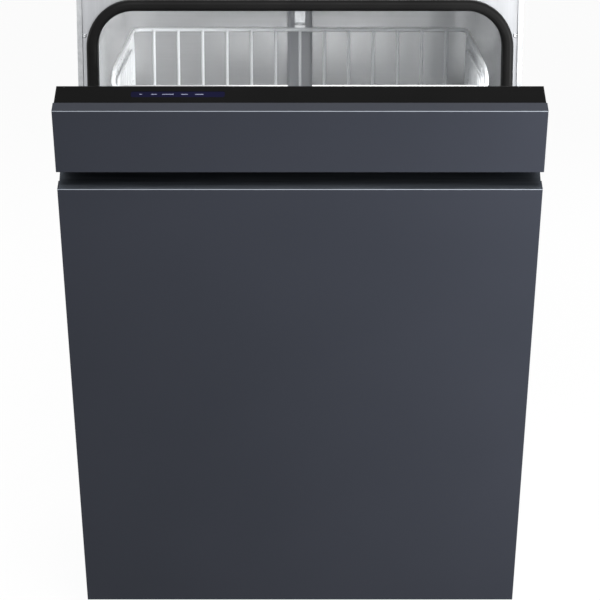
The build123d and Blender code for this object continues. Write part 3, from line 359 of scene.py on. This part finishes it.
def basket(node_name, half, floor_z, rim_z, front_rim_z, ring_z, fixed_rows, jog):
    """The rack in round wire: U-shaped wires both ways, a ring round it and a bent rim."""
    low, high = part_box(node_name)
    front, back = low.y, high.y
    inner = half - wire_r
    cross = []
    for y in spread(front + cross_margin, back - cross_margin, cross_count):
        wall = [(half, y, rim_z), (half, y, rim_z - step_high),
                (half, y + jog, rim_z - step_low), (half, y + jog, floor_z)]
        cross.append(bend([(-x, b, z) for x, b, z in wall] + wall[::-1], wire_bend))
    deep = [bend([(x, front + wire_r, front_rim_z), (x, front + wire_r, floor_z),
                  (x, back - wire_r, floor_z), (x, back - wire_r, rim_z)], wire_bend)
            for x in spread(-inner + deep_margin, inner - deep_margin, deep_count)]
    net = wires(f"{node_name}_net", cross + deep, wire_r, node_name)

    hoop = bend([(-half, front, ring_z), (half, front, ring_z),
                 (half, back, ring_z), (-half, back, ring_z)], wire_bend, closed=True)
    ring = wires(f"{node_name}_ring", [hoop], wire_r, node_name, closed=True)

    dip = front + rim_dip
    right = [(half, back, rim_z), (half, dip, rim_z)]
    if front_rim_z < rim_z:
        right += [(half, front + 0.006, front_rim_z + 0.012),
                  (half - 0.03, front + 0.003, front_rim_z)]
    else:
        right += [(half, front + 0.003, rim_z)]
    around = [(-half, back, rim_z)] + right + [(-x, y, z) for x, y, z in right[:0:-1]]
    rim = wires(f"{node_name}_rim", [bend(around, rim_bend, closed=True)], rim_r, node_name,
                closed=True)

    rail_z = floor_z + 2 * wire_r
    lines = []
    for x in fixed_rows:
        for y in spread(front + tine_margin, back - tine_margin, tine_count):
            lines.append([(x, y, floor_z), (x, y, floor_z + tine_height)])
        lines.append([(x, front + rail_margin, rail_z), (x, back - rail_margin, rail_z)])
    rows = wires(f"{node_name}_fixed_tines", lines, tine_r, node_name)
    return net, ring, rim, rows


upper_half = 0.247
upper_ring_z = 0.640
upper_low, upper_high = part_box("upper_basket")
upper_parts = basket("upper_basket", upper_half, floor_z=0.526, rim_z=upper_high.z - 0.0032,
                     front_rim_z=0.742, ring_z=upper_ring_z, fixed_rows=(-0.070, 0.0), jog=0.020)
runner_half, clip_half = 0.0094, 0.0115    # half heights


def runners(bm):
    """The slide bars on the upper basket's sides, with their clips."""
    for side in (-1, 1):
        bar = sorted((side * (upper_half + 0.00225), side * upper_high.x))
        rounded_bar(bm, (bar[0], upper_low.y + 0.012, upper_ring_z - runner_half),
                    (bar[1], upper_high.y, upper_ring_z + runner_half), 0.0015)
        clip = sorted((side * (upper_half - 0.003), side * (upper_half + 0.006)))
        for y in spread(upper_low.y + 0.060, upper_high.y - 0.060, 3):
            rounded_bar(bm, (clip[0], y - 0.011, upper_ring_z - clip_half),
                        (clip[1], y + 0.011, upper_ring_z + clip_half), 0.0012)


upper_parts += (mesh_piece("upper_basket_runners", runners, "upper_basket", "galvanised"),)
for part in upper_parts:
    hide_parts("upper_basket")

lower_half = 0.246
lower_rim_z = 0.372
lower_parts = basket("lower_basket", lower_half, floor_z=0.196, rim_z=lower_rim_z,
                     front_rim_z=lower_rim_z, ring_z=0.284, fixed_rows=(0.0, 0.070, 0.140), jog=0.0)
plate_half = 0.0015
stub_r, stub_long, stub_out = 0.003, 0.013, 0.0065


def carriers(bm):
    """A plate with a narrower neck and an axle stub for each wheel."""
    for name in ("wheels_front", "wheels_rear"):
        low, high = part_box(name)
        y, z = (low.y + high.y) / 2, (low.z + high.z) / 2
        for side in (-1, 1):
            plate = sorted((side * (lower_half - plate_half), side * (lower_half + plate_half)))
            for half_long, bottom, top in ((0.017, 0.1747, 0.1937), (0.012, 0.1925, 0.2060)):
                rounded_bar(bm, (plate[0], y - half_long, bottom),
                            (plate[1], y + half_long, top), 0.0012)
            disc(bm, (side * (lower_half + stub_out), y, z), "X", stub_r, stub_long)


lower_parts += (mesh_piece("lower_basket_wheel_carriers", carriers, "lower_basket",
                           "grey_plastic"),)
for part in lower_parts:
    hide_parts("lower_basket")

# Folding tines and cup shelves, each on a shaft in two round journals
shaft_r = 0.0026
journal_long = 0.008


def on_shaft(node_name, lines, x, shaft_z, journals_name):
    """The wires of a folding piece and its journals, in place of its node."""
    low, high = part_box(node_name)
    shaft = [(x, low.y, shaft_z), (x, high.y, shaft_z)]
    folded = wires(f"{node_name}_wire", [shaft] + lines, tine_r, node_name)

    def journals(bm):
        for y in (low.y + journal_long / 2, high.y - journal_long / 2):
            disc(bm, (x, y, shaft_z), "Y", shaft_r, journal_long)

    for piece in (folded, mesh_piece(f"{node_name}_{journals_name}", journals, node_name,
                                     "grey_plastic")):
        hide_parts(node_name)


def folding_row(node_name):
    """A row of straight tines."""
    low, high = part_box(node_name)
    x, shaft_z = (low.x + high.x) / 2, low.z + shaft_r
    tines = [[(x, y, shaft_z), (x, y, high.z)]
             for y in spread(low.y + 0.026, high.y - 0.026, tine_count)]
    on_shaft(node_name, tines, x, shaft_z, "clips")


def cup_shelf(node_name):
    """A bent loop with cross wires."""
    low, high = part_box(node_name)
    x, foot, top = (low.x + high.x) / 2, low.z + shaft_r, high.z - tine_r
    front, back = low.y + 0.006, high.y - 0.006
    middle = (foot + top) / 2
    loop = bend([(x, front, foot), (x, front, top), (x, back, top), (x, back, foot)], 0.02)
    bars = [[(x, y, foot), (x, y, top)] for y in spread(front, back, 9)[1:-1]]
    on_shaft(node_name, [loop, [(x, front, middle), (x, back, middle)]] + bars, x, foot,
             "journals")


folding_row("upper_tines")
folding_row("lower_tines")
cup_shelf("cup_shelf_left")
cup_shelf("cup_shelf_right")

# Spray arms: a raised collar round each jet, at the places that the source's slots have
jet_pitch = 0.190 / 3.4
jet_sweep = 0.010 / 3.4


def jets(node_name, body):
    """Four bars round each slot of an arm's upper face."""
    low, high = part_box(node_name)
    mid = (low.y + high.y) / 2

    def collars(bm):
        def bar(x, y, half_long, half_wide):
            rounded_bar(bm, (x - half_long, y - half_wide, high.z - 0.0004),
                        (x + half_long, y + half_wide, high.z + 0.0010), 0.0004)

        for step in (-3, -2, -1, 1, 2, 3):
            x, y = step * jet_pitch, mid + step * jet_sweep
            for side in (-1, 1):
                bar(x, y + side * 0.0025, 0.0062, 0.0009)
                bar(x + side * 0.0055, y, 0.0009, 0.0033)

    mesh_piece(f"{node_name}_jets", collars, body, "grey_plastic")


jets("lower_spray_arm", "lower_arm")
jets("upper_spray_arm", "upper_arm")

# Small fittings
screw_r, screw_high = 0.0032, 0.0016
screw_socket = 0.0009
screw_x = 0.2895
screw_levels = (0.160, 0.500, 0.812)


def frame_screws(bm):
    """Round heads with a socket, facing the front."""
    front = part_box("front_frame")[0].y
    facing = Matrix.Rotation(-pi / 2, 4, "X")
    for side in (-1, 1):
        for z in screw_levels:
            place = Matrix.Translation((side * screw_x, front - screw_high / 2, z))
            head = bmesh.ops.create_cone(bm, cap_ends=True, segments=24, radius1=screw_r * 0.75,
                                         radius2=screw_r, depth=screw_high,
                                         matrix=place @ facing)["verts"]
            bm.normal_update()
            face = min({f for v in head for f in v.link_faces},
                       key=lambda f: f.calc_center_median().y)
            bmesh.ops.inset_region(bm, faces=[face], thickness=screw_r * 0.45,
                                   use_even_offset=True)
            for vert in face.verts:
                vert.co.y += screw_socket


mesh_piece("frame_screws", frame_screws, "cabinet", "galvanised")

strip_mid_y = hinge_at.y + 0.008 - 0.0345    # the mouth's plane, less the strip's middle
glass_z = hinge_at.z + 0.7858
mark_half, mark_high = 0.0006, 0.0002
marks = ((-0.193, 0.003), (-0.177, 0.007), (-0.160, 0.014), (-0.140, 0.008), (-0.122, 0.010))


def window_marks(bm):
    """Plain dots and dashes of the display, just proud of the glass, drawn on the shut door."""
    for x, long in marks:
        rounded_bar(bm, (x - long / 2, strip_mid_y - mark_half, glass_z),
                    (x + long / 2, strip_mid_y + mark_half, glass_z + mark_high), 0.00008)


display_mark = plastic("display_mark", (0.20, 0.21, 0.30), (0.24, 0.25, 0.34), 0.4,
                       bump=0.02, scale=300.0, gloss=0.1)
mesh_piece("window_marks", window_marks, "door", "window_glass", on_door=True,
           finish=display_mark)


# Floor, light and camera
def plain_rays(owner):
    """One for rays from the camera, off gloss and through glass, which see a plain background."""
    rays = node(owner, "ShaderNodeLightPath").outputs
    factor = rays["Is Camera Ray"]
    for name in ("Is Glossy Ray", "Is Transmission Ray"):
        either = node(owner, "ShaderNodeMath", operation="MAXIMUM")
        link(owner, factor, either.inputs[0])
        link(owner, rays[name], either.inputs[1])
        factor = either.outputs[0]
    return factor


floor_dim, floor_bright = (0.22, 0.22, 0.22, 1), (0.85, 0.85, 0.85, 1)
floor_glow = 0.93    # share of the background's glow, the rest keeps the shadow
floor_material, floor_shade = shader("floor_pale", Roughness=0.9)
plain = plain_rays(floor_material)
glow = node(floor_material, "ShaderNodeEmission", Strength=1.0)
pale = node(floor_material, "ShaderNodeMix", data_type="RGBA", A=floor_dim, B=floor_bright)
share = node(floor_material, "ShaderNodeMath", operation="MULTIPLY")
share.inputs[1].default_value = floor_glow
pick = node(floor_material, "ShaderNodeMixShader")
output = floor_material.node_tree.nodes["Material Output"]
for source, target in ((plain, pale.inputs["Factor"]), (plain, share.inputs[0]),
                       (pale.outputs["Result"], floor_shade.inputs["Base Color"]),
                       (share.outputs[0], pick.inputs[0]),
                       (floor_shade.outputs[0], pick.inputs[1]),
                       (glow.outputs[0], pick.inputs[2]),
                       (pick.outputs[0], output.inputs["Surface"])):
    link(floor_material, source, target)
bpy.ops.mesh.primitive_plane_add(size=40)
floor = bpy.context.object
floor.name = "floor"
floor.data.materials.append(floor_material)

world_light = 0.54
world = bpy.data.worlds.new("studio")
bpy.context.scene.world = world
world.use_nodes = True
sky = world.node_tree.nodes["Background"]
sky.inputs["Color"].default_value = (1, 1, 1, 1)
link(world, map_range(world, plain_rays(world), 0, 1, world_light, 1), sky.inputs["Strength"])

# Name, place, what it points at, width and height, watts
lamps = (("key", (1.1, -0.85, 0.60), (0.1, -0.3, 0.45), (0.5, 0.9), 37),
         ("over", (0, -1.6, 2.2), (0, 0.1, 0.6), (1.2, 0.9), 34),
         ("fill", (0.9, -3.3, 1.45), (0, 0.2, 0.7), (0.9, 0.7), 34),
         ("left", (-2.4, 0.6, 1.2), (-0.3, 0.1, 0.4), (1.2, 1.2), 24),
         ("rear", (0.6, 2.6, 1.8), (0, 0.4, 0.4), (1.4, 1.4), 16))
for name, place, target, size, power in lamps:
    light = bpy.data.lights.new(name, "AREA")
    light.shape = "RECTANGLE"
    light.size, light.size_y = size
    light.energy = power
    shown = bpy.data.objects.new(name, light)
    shown.location = place
    shown.rotation_euler = (Vector(target) - Vector(place)).to_track_quat("-Z", "Y").to_euler()
    bpy.context.scene.collection.objects.link(shown)

camera_back = 3.2089
camera_high = 1.2749
camera_pitch = 14.8
focal_px = 2349.8
photo_px = 600.0
lens = bpy.data.cameras.new("camera")
lens.sensor_width = 36.0
lens.lens = focal_px / photo_px * lens.sensor_width
camera = bpy.data.objects.new("camera", lens)
camera.location = (0, -camera_back, camera_high)
camera.rotation_euler = (radians(90 - camera_pitch), 0, 0)
bpy.context.scene.collection.objects.link(camera)
bpy.context.scene.camera = camera
bpy.context.scene.view_settings.view_transform = "Standard"
